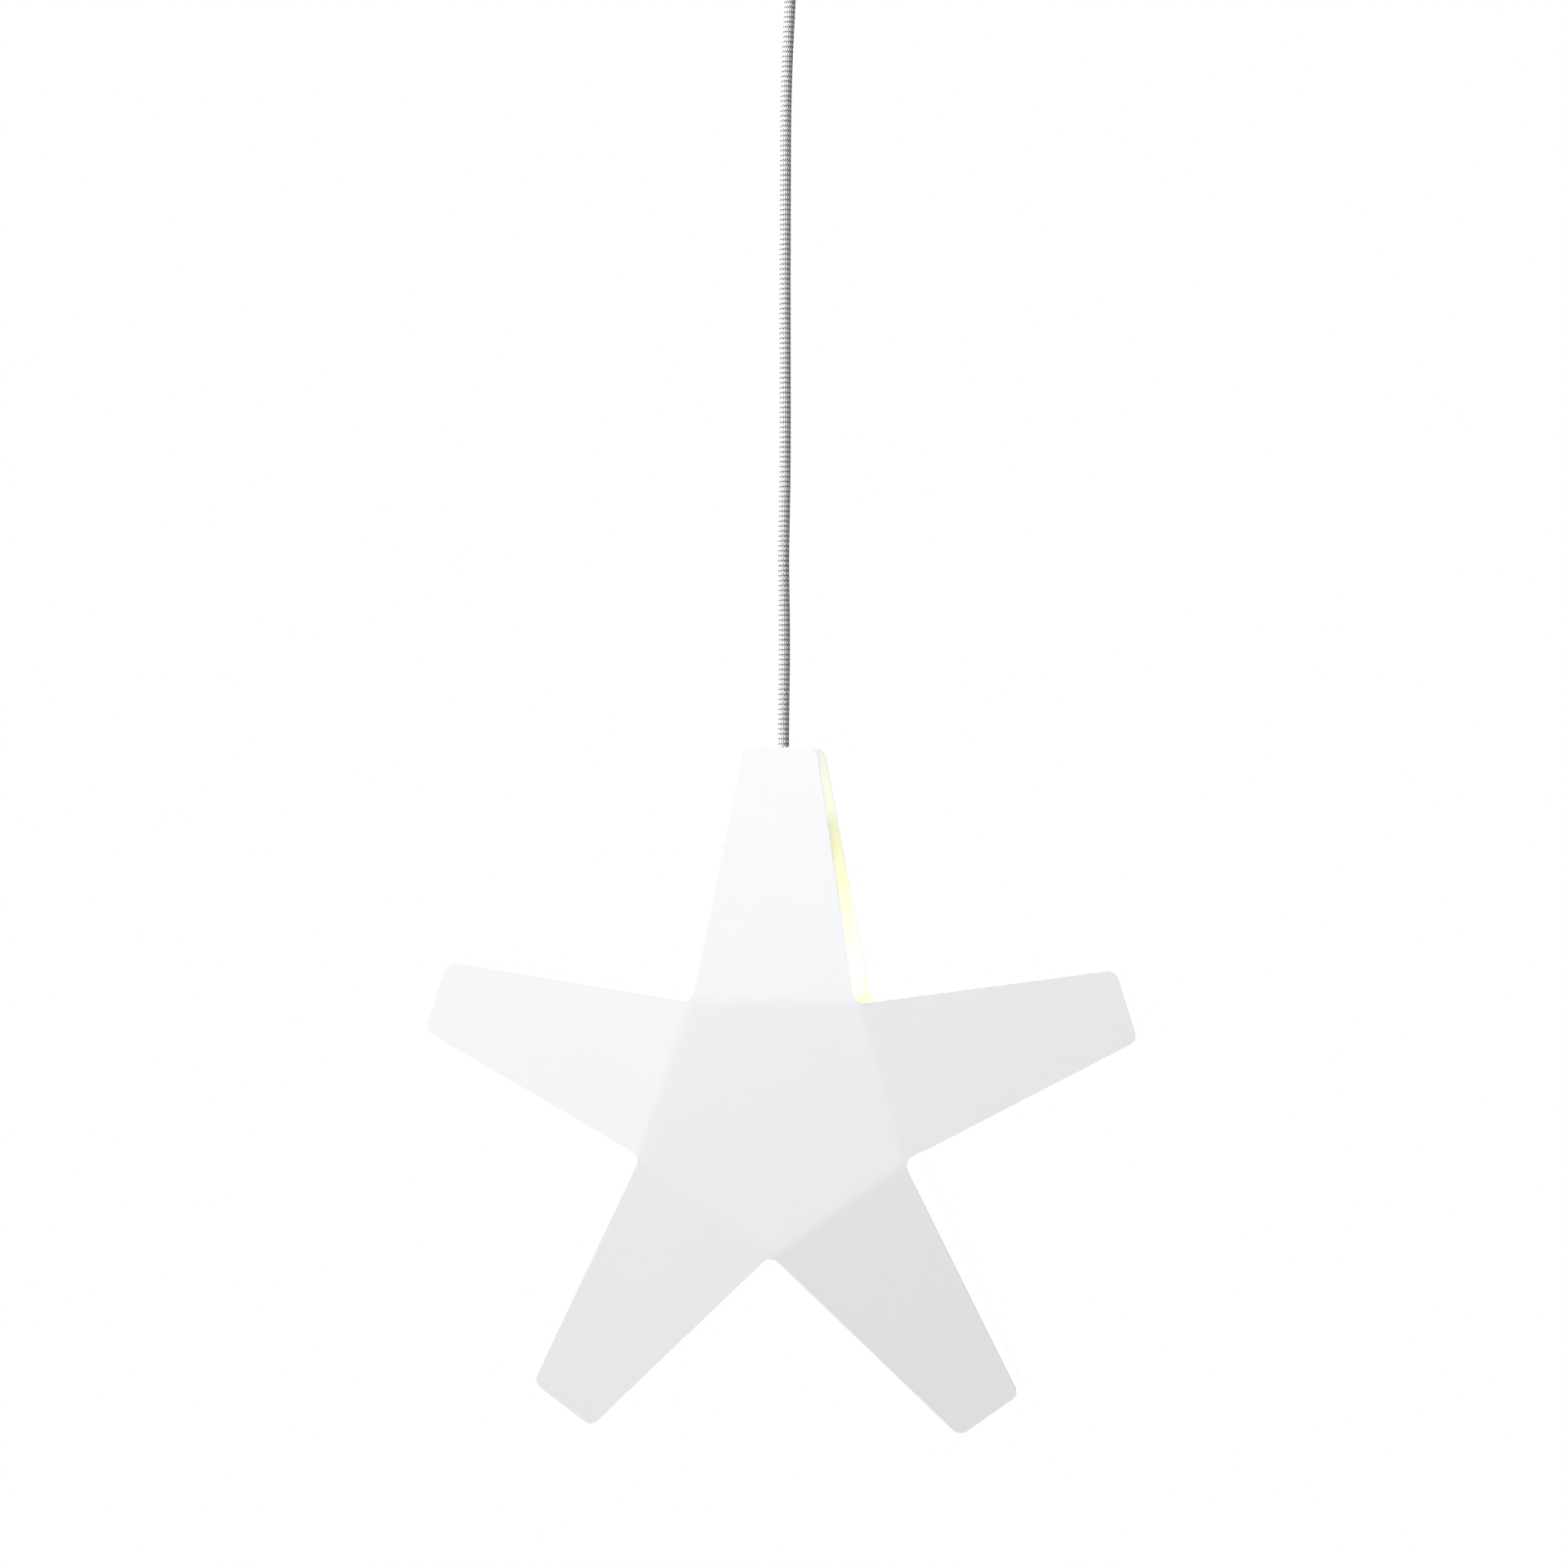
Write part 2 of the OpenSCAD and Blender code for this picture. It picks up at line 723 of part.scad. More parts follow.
module block_screw() {
    color("silver") translate([block_screw_x, 0, block_low_z + head_sink])
        slotted_screw(block_head_h, block_head_r, -block_low_z - head_sink, block_screw_r - thread_gap);
}

module cup_cores() {
    side_y = -block_w / 2;
    route = [
        [core_x, 0, cord_high_z],
        [core_x, 0, cord_high_z + 2],
        [core_x + 1, -2, cord_high_z + 5],
        [pole_pitch * 0.5, -6, cord_high_z + 8.5],
        [pole_pitch * 0.8, side_y - 2.5, cord_high_z + 12.5],
        [pole_pitch, side_y - 5.5, cord_high_z + 18],
        [pole_pitch, side_y - 6, tube_z - 4],
        [pole_pitch, side_y - 4.8, tube_z - 1.2],
        [pole_pitch, side_y - 2, tube_z],
        [pole_pitch, side_y + 2, tube_z],
        [pole_pitch, side_y + 6, tube_z]
    ];
    for (side = [0, 1]) mirror([side, 0, 0])
        color(side == 0 ? "saddlebrown" : "royalblue") swept_tube(route, core_d / 2, core_sides);
}

front_sheet();
back_sheet();
sheet_studs();
spacers();
back_screws();
lamp_bracket();
bracket_nuts();
lamp_cord_grip();
lamp_grip_screw();
holder_cap();
holder_shell();
holder_insert();
holder_thread();
holder_contact();
holder_cores();
bulb();
cord();
ceiling_cup();
cup_cord_grip();
cup_grip_nut();
cup_grip_screw();
cup_screws();
ceiling_strap();
terminal_block();
terminal_tubes();
terminal_screws();
block_screw();
cup_cores();
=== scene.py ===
import math

import bmesh
import bpy
from mathutils import Matrix, Vector


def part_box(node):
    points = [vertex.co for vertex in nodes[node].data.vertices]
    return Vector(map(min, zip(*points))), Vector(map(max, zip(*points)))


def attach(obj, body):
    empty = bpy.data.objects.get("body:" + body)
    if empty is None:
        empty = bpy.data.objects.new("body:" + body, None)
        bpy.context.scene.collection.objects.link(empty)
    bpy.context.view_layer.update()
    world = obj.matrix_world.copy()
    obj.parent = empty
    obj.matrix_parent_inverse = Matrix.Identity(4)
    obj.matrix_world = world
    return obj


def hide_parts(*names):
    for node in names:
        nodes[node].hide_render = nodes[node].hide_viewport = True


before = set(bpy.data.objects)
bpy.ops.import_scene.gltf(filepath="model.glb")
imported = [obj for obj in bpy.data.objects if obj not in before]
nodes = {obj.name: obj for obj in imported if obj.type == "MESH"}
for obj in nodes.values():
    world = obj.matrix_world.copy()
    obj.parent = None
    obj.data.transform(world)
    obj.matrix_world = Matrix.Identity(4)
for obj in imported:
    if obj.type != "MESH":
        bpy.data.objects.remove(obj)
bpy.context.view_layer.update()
mm = 0.001
mergeDistance = 0.001 * mm
plainWhite = (1, 1, 1, 1)
print("frame loaded:", len(nodes), "CAD nodes")

bulbLow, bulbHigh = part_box("bulb")
globeRadius = (bulbHigh.x - bulbLow.x) / 2
starCentre = Vector((0, 0, bulbLow.z + globeRadius))
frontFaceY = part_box("front_sheet")[0].y

# The camera stands where the photograph was taken from, square to its frame and without shift
photoView = {
    "frameWidth": 1920,  # pixels
    "focalLength": 5512.8,  # pixels
    "sensorWidth": 36,
    "pitch": -0.45,  # degrees
    "turn": -7.43,
    "roll": 0.5,
    "starInView": Vector((-6.6, 2500, -184.3)) * mm,  # right, forwards and up from the camera
}


def makeCamera():
    view = photoView
    turned = (
        Matrix.Rotation(math.radians(view["pitch"]), 3, "X")
        @ Matrix.Rotation(math.radians(view["turn"]), 3, "Z")
        @ Matrix.Rotation(math.radians(view["roll"]), 3, "Y")
    )
    right, forwards, up = turned
    target = Vector((0, frontFaceY, starCentre.z))
    data = bpy.data.cameras.new("photoCamera")
    data.sensor_width = view["sensorWidth"]
    data.lens = view["sensorWidth"] * view["focalLength"] / view["frameWidth"]
    camera = bpy.data.objects.new("photoCamera", data)
    camera.matrix_world = Matrix.Translation(target - turned.transposed() @ view["starInView"]) @ Matrix(
        (right, up, -forwards)
    ).transposed().to_4x4()
    bpy.context.scene.collection.objects.link(camera)
    bpy.context.scene.camera = camera


makeCamera()
bpy.context.scene.view_settings.view_transform = "Standard"
print("camera placed")


# Node helpers: a node with its inputs set from numbers, colours or other sockets
def addNode(tree, kind, inputs=None, **settings):
    node = tree.nodes.new(kind)
    for name, value in settings.items():
        setattr(node, name, value)
    for name, value in (inputs or {}).items():
        if isinstance(value, bpy.types.NodeSocket):
            tree.links.new(value, node.inputs[name])
        else:
            node.inputs[name].default_value = value
    return node


def maths(tree, operation, *values):
    inputs = dict(enumerate(values))
    return addNode(tree, "ShaderNodeMath", inputs, operation=operation).outputs[0]


def mixColours(tree, factor, first, second):
    node = addNode(tree, "ShaderNodeMix", data_type="RGBA")
    for socket, value in zip((node.inputs[0], node.inputs[6], node.inputs[7]), (factor, first, second)):
        if isinstance(value, bpy.types.NodeSocket):
            tree.links.new(value, socket)
        else:
            socket.default_value = value
    return node.outputs[2]


def remap(tree, value, fromLow, fromHigh, toLow, toHigh):
    inputs = {"Value": value, "From Min": fromLow, "From Max": fromHigh, "To Min": toLow, "To Max": toHigh}
    return addNode(tree, "ShaderNodeMapRange", inputs).outputs["Result"]


def bumpOf(tree, height, distance, strength=1.0):
    inputs = {"Height": height, "Distance": distance, "Strength": strength}
    return addNode(tree, "ShaderNodeBump", inputs).outputs["Normal"]


def newGroup(name, inputs, outputs):
    group = bpy.data.node_groups.new(name, "ShaderNodeTree")
    for title, value in inputs.items():
        kind = "NodeSocketVector" if value is None else "NodeSocketFloat"
        socket = group.interface.new_socket(title, in_out="INPUT", socket_type=kind)
        if value is not None:
            socket.default_value = value
    for title in outputs:
        group.interface.new_socket(title, in_out="OUTPUT", socket_type="NodeSocketFloat")
    return group, addNode(group, "NodeGroupInput"), addNode(group, "NodeGroupOutput")


def useGroup(tree, group, inputs):
    return addNode(tree, "ShaderNodeGroup", inputs, node_tree=group).outputs


# A skin with a fine grain and a slow unevenness, for paint, plastic, glaze and plated steel
def makeSkinGroup():
    inputs = {"Place": None, "Grain Size": 0.6 * mm, "Patch Size": 30 * mm, "Grain Share": 0.5}
    group, given, made = newGroup("skin", inputs, ["Grain", "Patches", "Height"])
    place = given.outputs["Place"]
    grainScale = maths(group, "DIVIDE", 1.0, given.outputs["Grain Size"])
    patchScale = maths(group, "DIVIDE", 1.0, given.outputs["Patch Size"])
    grain = addNode(group, "ShaderNodeTexNoise", {"Vector": place, "Scale": grainScale, "Detail": 2.0})
    patches = addNode(group, "ShaderNodeTexNoise", {"Vector": place, "Scale": patchScale, "Detail": 3.0})
    slow = maths(group, "SUBTRACT", 1.0, given.outputs["Grain Share"])
    height = maths(
        group,
        "ADD",
        maths(group, "MULTIPLY", grain.outputs["Fac"], given.outputs["Grain Share"]),
        maths(group, "MULTIPLY", patches.outputs["Fac"], slow),
    )
    group.links.new(grain.outputs["Fac"], made.inputs["Grain"])
    group.links.new(patches.outputs["Fac"], made.inputs["Patches"])
    group.links.new(height, made.inputs["Height"])
    return group


# A round braid from its own UV map: U goes once round the cord and V once for each row of picks.
# The light yarns climb to the right and the dark ones to the left, over and under each other.
def makeBraidGroup():
    widths = {"Light Width": 0.42, "Dark Width": 0.30}
    inputs = {"Place": None, "Carriers": 16.0, **widths, "Wave": 0.55, "Strands": 9.0}
    group, given, made = newGroup("braid", inputs, ["Light Yarn", "Height", "Strand"])
    place = addNode(group, "ShaderNodeSeparateXYZ", {"Vector": given.outputs["Place"]})
    across = maths(group, "MULTIPLY", place.outputs["X"], given.outputs["Carriers"])
    along = place.outputs["Y"]
    climbing = maths(group, "SUBTRACT", across, along)
    falling = maths(group, "ADD", across, along)
    heights = []
    strands = []
    yarns = ((climbing, falling, "Light Width", 1.0), (falling, climbing, "Dark Width", -1.0))
    for offset, run, width, side in yarns:
        nearest = maths(group, "ROUND", offset)
        off = maths(group, "DIVIDE", maths(group, "SUBTRACT", offset, nearest), given.outputs[width])
        room = maths(group, "SUBTRACT", 1.0, maths(group, "MULTIPLY", off, off))
        dome = maths(group, "SQRT", maths(group, "MAXIMUM", room, 0.0))
        parity = maths(group, "COSINE", maths(group, "MULTIPLY", nearest, math.pi))
        ripple = maths(group, "COSINE", maths(group, "MULTIPLY", run, math.pi))
        wave = maths(group, "MULTIPLY", parity, ripple)
        lift = maths(group, "MULTIPLY", maths(group, "MULTIPLY", wave, given.outputs["Wave"]), side)
        heights.append(maths(group, "ADD", dome, lift))
        strands.append(maths(group, "SINE", maths(group, "MULTIPLY", off, given.outputs["Strands"])))
    light = maths(group, "GREATER_THAN", heights[0], heights[1])
    height = maths(group, "MAXIMUM", heights[0], heights[1])
    strand = addNode(group, "ShaderNodeMix", {"Factor": light, "A": strands[1], "B": strands[0]})
    group.links.new(light, made.inputs["Light Yarn"])
    group.links.new(height, made.inputs["Height"])
    group.links.new(strand.outputs[0], made.inputs["Strand"])
    return group


skinGroup = makeSkinGroup()
braidGroup = makeBraidGroup()


def newMaterial(name, **sockets):
    material = bpy.data.materials.new(name)
    material.use_nodes = True
    tree = material.node_tree
    shader = tree.nodes["Principled BSDF"]
    for socket, value in sockets.items():
        shader.inputs[socket.replace("_", " ")].default_value = value
    return material, tree, shader


noiseSpan = (0.3, 0.7)  # where nearly all of a noise texture's values lie


# A material whose colour, roughness and bump vary a little over the skin
def skinMaterial(name, look, **sockets):
    material, tree, shader = newMaterial(name, **sockets)
    place = addNode(tree, "ShaderNodeTexCoord").outputs["Object"]
    sizes = {"Grain Size": look["grain"], "Patch Size": look["patch"], "Grain Share": look["share"]}
    skin = useGroup(tree, skinGroup, {"Place": place, **sizes})
    shade = remap(tree, skin["Patches"], *noiseSpan, 0.0, 1.0)
    colour = mixColours(tree, shade, (*look["colour"], 1), (*look["second"], 1))
    tree.links.new(colour, shader.inputs["Base Color"])
    rough = remap(tree, skin["Grain"], *noiseSpan, look["smooth"], look["rough"])
    tree.links.new(rough, shader.inputs["Roughness"])
    tree.links.new(bumpOf(tree, skin["Height"], look["relief"]), shader.inputs["Normal"])
    return material


lacquerLook = {
    "colour": (0.853, 0.857, 0.866),
    "second": (0.844, 0.849, 0.858),
    "smooth": 0.42,
    "rough": 0.50,
    "grain": 0.5 * mm,
    "patch": 25 * mm,
    "share": 0.7,
    "relief": 0.01 * mm,
}
whiteLacquer = skinMaterial("whiteLacquer", lacquerLook)

zincLook = {
    "colour": (0.62, 0.63, 0.65),
    "second": (0.50, 0.52, 0.55),
    "smooth": 0.28,
    "rough": 0.42,
    "grain": 0.3 * mm,
    "patch": 4 * mm,
    "share": 0.5,
    "relief": 0.01 * mm,
}
zincSteel = skinMaterial("zincSteel", zincLook, Metallic=1.0)

screwLook = {
    "colour": (0.84, 0.84, 0.84),
    "second": (0.80, 0.80, 0.79),
    "smooth": 0.30,
    "rough": 0.40,
    "grain": 0.2 * mm,
    "patch": 3 * mm,
    "share": 0.6,
    "relief": 0.01 * mm,
}
whiteScrew = skinMaterial("whiteScrew", screwLook)

plasticLook = {
    "colour": (0.82, 0.82, 0.81),
    "second": (0.80, 0.80, 0.79),
    "smooth": 0.34,
    "rough": 0.44,
    "grain": 0.25 * mm,
    "patch": 12 * mm,
    "share": 0.8,
    "relief": 0.008 * mm,
}
whitePlastic = skinMaterial("whitePlastic", plasticLook)

ceramicLook = {
    "colour": (0.80, 0.78, 0.72),
    "second": (0.77, 0.745, 0.68),
    "smooth": 0.22,
    "rough": 0.34,
    "grain": 0.4 * mm,
    "patch": 6 * mm,
    "share": 0.4,
    "relief": 0.015 * mm,
}
holderCeramic = skinMaterial("holderCeramic", ceramicLook)

brassLook = {
    "colour": (0.78, 0.62, 0.30),
    "second": (0.70, 0.53, 0.24),
    "smooth": 0.25,
    "rough": 0.40,
    "grain": 0.2 * mm,
    "patch": 3 * mm,
    "share": 0.5,
    "relief": 0.008 * mm,
}
contactBrass = skinMaterial("contactBrass", brassLook, Metallic=1.0)

blockLook = {
    "colour": (0.74, 0.75, 0.74),
    "second": (0.70, 0.71, 0.70),
    "smooth": 0.36,
    "rough": 0.48,
    "grain": 0.3 * mm,
    "patch": 8 * mm,
    "share": 0.7,
    "relief": 0.01 * mm,
}
blockPlastic = skinMaterial("blockPlastic", blockLook, Subsurface_Weight=0.1, Subsurface_Scale=1 * mm)

nylonLook = {
    "colour": (0.82, 0.84, 0.83),
    "second": (0.78, 0.80, 0.79),
    "smooth": 0.18,
    "rough": 0.30,
    "grain": 0.2 * mm,
    "patch": 3 * mm,
    "share": 0.5,
    "relief": 0.006 * mm,
}
clearNylon = skinMaterial("clearNylon", nylonLook, Transmission_Weight=0.55, IOR=1.53)

coreLook = {
    "brown": (0.16, 0.055, 0.02, 1),
    "blue": (0.03, 0.16, 0.42, 1),
    "rough": 0.42,
    "grain": 0.3 * mm,
    "relief": 0.01 * mm,
}


# The insulation of the two cores: brown on one side of the middle and blue on the other
def makeCoreSheath():
    material, tree, shader = newMaterial("coreSheath", Roughness=coreLook["rough"])
    place = addNode(tree, "ShaderNodeTexCoord").outputs["Object"]
    side = addNode(tree, "ShaderNodeSeparateXYZ", {"Vector": place}).outputs["X"]
    blue = maths(tree, "LESS_THAN", side, 0.0)
    tree.links.new(mixColours(tree, blue, coreLook["brown"], coreLook["blue"]), shader.inputs["Base Color"])
    skin = useGroup(tree, skinGroup, {"Place": place, "Grain Size": coreLook["grain"]})
    tree.links.new(bumpOf(tree, skin["Height"], coreLook["relief"]), shader.inputs["Normal"])
    return material


coreSheath = makeCoreSheath()

bulbLook = {
    "glass": (0.90, 0.86, 0.78, 1),
    "glow": (1.0, 0.83, 0.47, 1),
    "strength": 1.5,
    "metal": (0.66, 0.65, 0.62, 1),
    "glaze": (0.03, 0.03, 0.035, 1),
    "rough": 0.22,
    "relief": 0.005 * mm,
    "baseHeight": 24 * mm,  # down from the top of the contact, as the next two are
    "glazeHeight": 3.9 * mm,
    "contactHeight": 1.1 * mm,
}


# An opal globe that glows, a plated screw base above it and a dark insulator round its contact
def makeBulbGlass():
    material, tree, shader = newMaterial("bulbGlass", Roughness=bulbLook["rough"])
    place = addNode(tree, "ShaderNodeTexCoord").outputs["Object"]
    height = addNode(tree, "ShaderNodeSeparateXYZ", {"Vector": place}).outputs["Z"]
    metal = maths(tree, "GREATER_THAN", height, bulbHigh.z - bulbLook["baseHeight"])
    glaze = maths(tree, "GREATER_THAN", height, bulbHigh.z - bulbLook["glazeHeight"])
    contact = maths(tree, "GREATER_THAN", height, bulbHigh.z - bulbLook["contactHeight"])
    dark = maths(tree, "SUBTRACT", glaze, contact)
    body = mixColours(tree, metal, bulbLook["glass"], bulbLook["metal"])
    tree.links.new(mixColours(tree, dark, body, bulbLook["glaze"]), shader.inputs["Base Color"])
    tree.links.new(maths(tree, "SUBTRACT", metal, dark), shader.inputs["Metallic"])
    lit = maths(tree, "SUBTRACT", 1.0, metal)
    glow = mixColours(tree, lit, (0, 0, 0, 1), bulbLook["glow"])
    tree.links.new(glow, shader.inputs["Emission Color"])
    shader.inputs["Emission Strength"].default_value = bulbLook["strength"]
    skin = useGroup(tree, skinGroup, {"Place": place})
    tree.links.new(bumpOf(tree, skin["Height"], bulbLook["relief"]), shader.inputs["Normal"])
    return material


bulbGlass = makeBulbGlass()
print("materials made")


def finishPiece(piece, material, slot, *stoodFor):
    piece.data.materials.clear()
    piece.data.materials.append(material)
    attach(piece, "root")
    if stoodFor:
        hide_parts(*stoodFor)
    return piece


# The cord keeps the CAD route's points. Its braid stands out of the tube as real yarns.
cordBuild = {
    "diameter": 6.4 * mm,
    "length": 0.594,
    "exit": (0, 0, -604.5 * mm),
    "sides": 80,
    "step": 0.52 * mm,
    "carriers": 16,
    "rowHeight": 2.79 * mm,
    "lightWidth": 0.42,  # share of the way to the next yarn
    "darkWidth": 0.30,
    "wave": 0.55,
    "relief": 0.16 * mm,
    "pickTop": 1.5,  # the height in the braid that lies on the cord's full diameter
}
cordRoute = [
    (0, -628), (0, -610), (0, -590), (-0.1, -570), (-0.2, -550), (-0.3, -530),
    (-0.4, -510), (-0.5, -490), (-0.5, -470), (-0.4, -450), (-0.5, -430), (-0.9, -410),
    (-1.3, -390), (-1.2, -370), (-1, -350), (-1, -330), (-1.1, -310), (-1.3, -290),
    (-1.5, -270), (-1.7, -250), (-1.9, -230), (-2, -210), (-2.1, -190), (-2.2, -170),
    (-2.3, -150), (-2.2, -130), (-1.8, -110), (-1.1, -90), (-0.3, -70), (0, -50), (0, -34),
]  # x and z in millimetres, from the lampholder up to the cup

# Light and dark yarns, with painted shade that darkens the gaps between the picks
braidLook = {
    "light": (0.54, 0.55, 0.57, 1),
    "dark": (0.12, 0.12, 0.13, 1),
    "gapShade": (0.04, 0.04, 0.045, 1),
    "gapShadeBottom": 0.35,  # heights in the braid between which the painted shade in a gap grows
    "gapShadeTop": 0.85,
    "depth": 0.8,
    "rough": 0.55,
    "specular": 0.35,
    "sheen": 0.15,
    "sheenRough": 0.4,
    "strands": 9.0,
    "strand": 0.08,
    "relief": 0.12 * mm,
}


def makeCordBraid():
    look = braidLook
    sockets = {"Roughness": look["rough"], "Specular_IOR_Level": look["specular"]}
    sheen = {"Sheen_Weight": look["sheen"], "Sheen_Roughness": look["sheenRough"]}
    material, tree, shader = newMaterial("cordBraid", **sockets, **sheen)
    inputs = {
        "Place": addNode(tree, "ShaderNodeTexCoord").outputs["UV"],
        "Carriers": cordBuild["carriers"],
        "Light Width": cordBuild["lightWidth"],
        "Dark Width": cordBuild["darkWidth"],
        "Wave": cordBuild["wave"],
        "Strands": look["strands"],
    }
    braid = useGroup(tree, braidGroup, inputs)
    yarn = mixColours(tree, braid["Light Yarn"], look["dark"], look["light"])
    # Painted shade in the recesses: where the braid lies low between the picks, its colour is mixed towards
    # the dark gap colour
    depth = remap(tree, braid["Height"], look["gapShadeBottom"], look["gapShadeTop"], 1.0, 0.0)
    shade = maths(tree, "MULTIPLY", depth, look["depth"])
    tree.links.new(mixColours(tree, shade, yarn, look["gapShade"]), shader.inputs["Base Color"])
    strand = maths(tree, "MULTIPLY", braid["Strand"], look["strand"])
    height = maths(tree, "ADD", braid["Height"], strand)
    tree.links.new(bumpOf(tree, height, look["relief"]), shader.inputs["Normal"])
    return material


cordBraid = makeCordBraid()


# The height of the upper yarn at a place on the braid, from about 0 in a gap to 1.5 on top of a pick
def braidHeight(across, along):
    climbing = across - along
    falling = across + along
    heights = []
    for offset, run, width, side in (
        (climbing, falling, cordBuild["lightWidth"], 1),
        (falling, climbing, cordBuild["darkWidth"], -1),
    ):
        off = (offset - round(offset)) / width
        dome = math.sqrt(max(0, 1 - off * off))
        wave = math.cos(math.pi * round(offset)) * math.cos(math.pi * run)
        heights.append(dome + side * wave * cordBuild["wave"])
    return max(heights)


# Points along the smooth curve through the route, a step apart
def smoothRoute():
    corners = [Vector((x, 0, z)) * mm for x, z in cordRoute]
    corners = [2 * corners[0] - corners[1], *corners, 2 * corners[-1] - corners[-2]]
    points = []
    for before, start, end, after in zip(corners, corners[1:], corners[2:], corners[3:]):
        count = max(1, round((end - start).length / cordBuild["step"]))
        for i in range(count):
            t = i / count
            points.append(
                (
                    start * 2
                    + (end - before) * t
                    + (before * 2 - start * 5 + end * 4 - after) * t * t
                    + (start * 3 - before - end * 3 + after) * t * t * t
                )
                / 2
            )
    points.append(corners[-2])
    return points


# A flat grid is rolled round the route: its columns go round the cord and its rows along it
def makeCord():
    build = cordBuild
    sides = build["sides"]
    route = smoothRoute()
    rings = len(route) - 1
    travelled = [0]
    for before, point in zip(route, route[1:]):
        travelled.append(travelled[-1] + (point - before).length / build["rowHeight"])
    bm = bmesh.new()
    uvLayer = bm.loops.layers.uv.new("UVMap")
    bmesh.ops.create_grid(bm, x_segments=sides, y_segments=rings, size=0.5)
    for face in bm.faces:
        for loop in face.loops:
            place = loop.vert.co
            loop[uvLayer].uv = (place.x + 0.5, travelled[round((place.y + 0.5) * rings)])
    towardsBack = Vector((0, 1, 0))
    for vert in bm.verts:
        turn = vert.co.x + 0.5
        i = round((vert.co.y + 0.5) * rings)
        ahead = route[min(i + 1, rings)] - route[max(i - 1, 0)]
        towardsRight = towardsBack.cross(ahead).normalized()
        angle = 2 * math.pi * turn
        lift = build["relief"] * (braidHeight(build["carriers"] * turn, travelled[i]) - build["pickTop"])
        outwards = towardsRight * math.cos(angle) + towardsBack * math.sin(angle)
        vert.co = route[i] + outwards * (build["diameter"] / 2 + lift)
    bmesh.ops.remove_doubles(bm, verts=bm.verts, dist=mergeDistance)
    ends = [edge for edge in bm.edges if edge.is_boundary]
    bmesh.ops.holes_fill(bm, edges=ends, sides=0)
    bmesh.ops.recalc_face_normals(bm, faces=bm.faces)
    for face in bm.faces:
        face.smooth = len(face.verts) == 4
    mesh = bpy.data.meshes.new("braidedCord")
    bm.to_mesh(mesh)
    bm.free()
    piece = bpy.data.objects.new("braidedCord", mesh)
    bpy.context.scene.collection.objects.link(piece)
    finishPiece(piece, cordBraid, "cord_braid", "cord")
    return piece, route


cord, cordLine = makeCord()
print("cord braided:", len(cord.data.polygons), "faces")

# A CAD node's copy, merged, with softened edges and even shading, stands for the node
softEdges = {
    "flat": 0.4,  # degrees between triangles that become one face
    "crease": 32,  # degrees, above which an edge is softened
    "segments": 2,
}
colourOf = {
    "white_lacquer": whiteLacquer,
    "zinc_steel": zincSteel,
    "white_screw": whiteScrew,
    "white_plastic": whitePlastic,
    "clear_screw": clearNylon,
    "holder_ceramic": holderCeramic,
    "contact_brass": contactBrass,
    "core_sheath": coreSheath,
    "bulb_glow": bulbGlass,
    "block_plastic": blockPlastic,
}


def softenedNode(pieceName, nodeName, slot, edge):
    bm = bmesh.new()
    bm.from_mesh(nodes[nodeName].data)
    bmesh.ops.remove_doubles(bm, verts=bm.verts, dist=mergeDistance)
    bmesh.ops.dissolve_limit(
        bm,
        angle_limit=math.radians(softEdges["flat"]),
        verts=bm.verts,
        edges=bm.edges,
        use_dissolve_boundaries=False,
    )
    for face in bm.faces:
        face.smooth = True
    for seam in bm.edges:
        seam.smooth = seam.calc_face_angle(math.pi) < math.radians(softEdges["crease"])
    mesh = bpy.data.meshes.new(pieceName)
    bm.to_mesh(mesh)
    bm.free()
    piece = bpy.data.objects.new(pieceName, mesh)
    bpy.context.scene.collection.objects.link(piece)
    if edge:
        bevel = piece.modifiers.new("softEdge", "BEVEL")
        bevel.width = edge
        bevel.segments = softEdges["segments"]
        bevel.limit_method = "ANGLE"
        bevel.angle_limit = math.radians(softEdges["crease"])
        bevel.harden_normals = False
        bevel.miter_outer = "MITER_ARC"
    even = piece.modifiers.new("evenShading", "WEIGHTED_NORMAL")
    even.mode = "FACE_AREA"
    even.weight = 100
    even.keep_sharp = True
    return finishPiece(piece, colourOf[slot], slot, nodeName)


# Piece, CAD node, material slot and edge softening
softened = [
    ("frontSheet", "front_sheet", "white_lacquer", 0.22 * mm),
    ("backSheet", "back_sheet", "white_lacquer", 0.22 * mm),
    ("ceilingCup", "ceiling_cup", "white_lacquer", 0.15 * mm),
    ("lampBracket", "lamp_bracket", "zinc_steel", 0.15 * mm),
    ("ceilingStrap", "ceiling_strap", "zinc_steel", 0.15 * mm),
    ("spacerTubes", "spacers", "zinc_steel", 0.2 * mm),
    ("backScrews", "back_screws", "white_screw", 0.12 * mm),
    ("cupScrews", "cup_screws", "white_screw", 0.12 * mm),
    ("lampCordGrip", "lamp_cord_grip", "white_plastic", 0.2 * mm),
    ("cupCordGrip", "cup_cord_grip", "white_plastic", 0.2 * mm),
    ("holderCap", "holder_cap", "white_plastic", 0.2 * mm),
    ("holderShell", "holder_shell", "white_plastic", 0.15 * mm),
    ("bulbWithBase", "bulb", "bulb_glow", 0),
]
pieces = {name: softenedNode(name, node, slot, edge) for name, node, slot, edge in softened}
print("nodes softened:", len(pieces))

